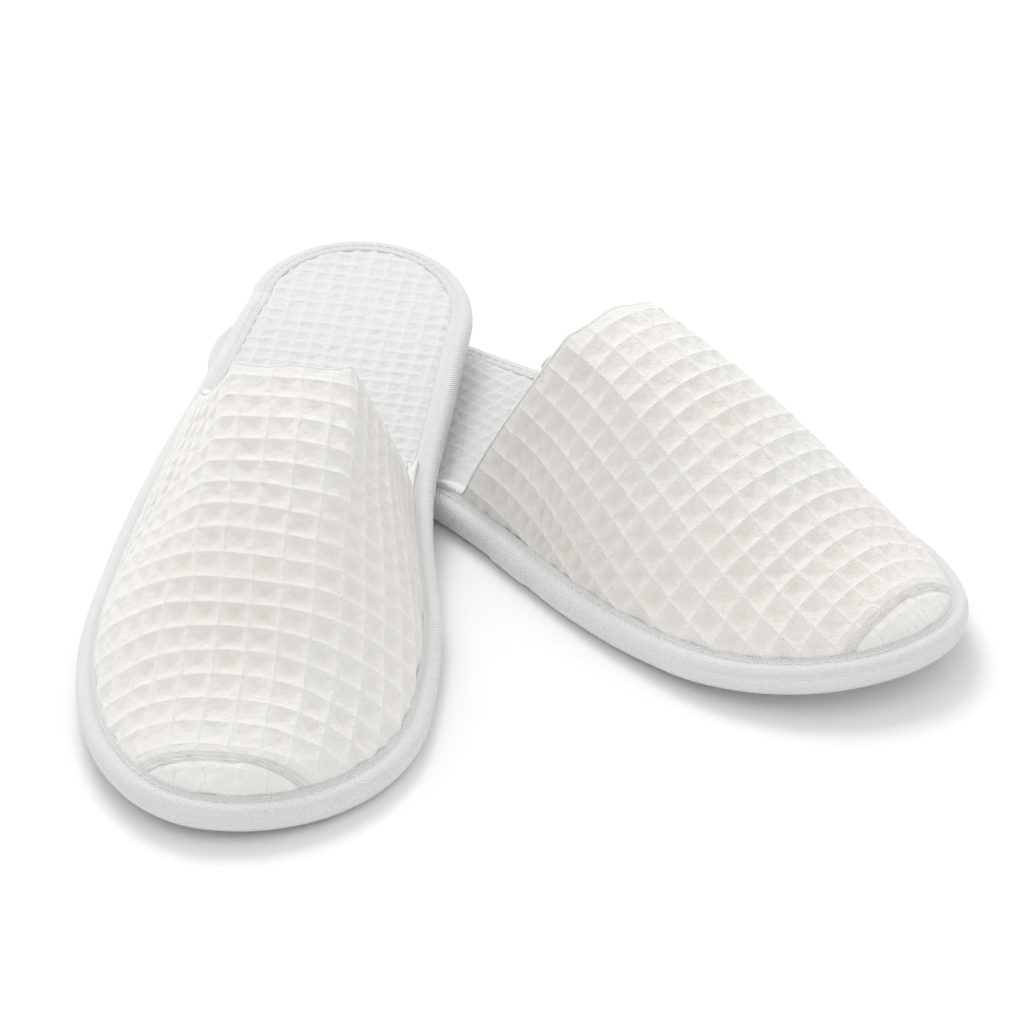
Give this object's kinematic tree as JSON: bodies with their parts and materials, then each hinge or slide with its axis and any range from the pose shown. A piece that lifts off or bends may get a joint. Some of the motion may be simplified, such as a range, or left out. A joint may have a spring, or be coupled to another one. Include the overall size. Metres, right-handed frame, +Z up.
{
  "type": "spa slippers",
  "caption": "Pair of closed-toe spa slippers: waffle cloth uppers on flat padded soles bound in twill tape, one heel resting on the other.",
  "frame": {"origin": "on the floor, under the middle of the pair", "axes": "+Z up; -Y towards the toe of the right slipper; the left slipper's toe points to +X and -Y"},
  "size_m": [0.253, 0.2858, 0.0815],
  "materials": {
    "waffle_cloth": "off-white cotton waffle weave, deep square cells, matt",
    "insole_cloth": "off-white cotton waffle weave, flattened fine cells, matt",
    "lining_cloth": "plain white brushed non-woven lining",
    "foam": "open-cell polyurethane sponge, not seen in use",
    "twill_tape": "white herringbone twill tape, folded round the edge and stitched",
    "thread": "white spun polyester sewing thread",
    "sole_rubber": "off-white EVA foam rubber sheet with a fine anti-slip pattern"
  },
  "bodies": {
    "left_slipper": {"left_outsole": "sole_rubber", "left_midsole_foam": "foam", "left_insole_cover": "insole_cloth", "left_binding_tape": "twill_tape", "left_tape_top_thread": "thread", "left_tape_under_thread": "thread", "left_upper_waffle": "waffle_cloth", "left_upper_padding": "foam", "left_upper_lining": "lining_cloth"},
    "right_slipper": {"right_outsole": "sole_rubber", "right_midsole_foam": "foam", "right_insole_cover": "insole_cloth", "right_binding_tape": "twill_tape", "right_tape_top_thread": "thread", "right_tape_under_thread": "thread", "right_upper_waffle": "waffle_cloth", "right_upper_padding": "foam", "right_upper_lining": "lining_cloth"}
  },
  "joints": [
    {"name": "lift_off", "type": "slide", "parent": "left_slipper", "child": "right_slipper", "axis": [0, 0, 1], "range_m": [0, 0.12]}
  ]
}
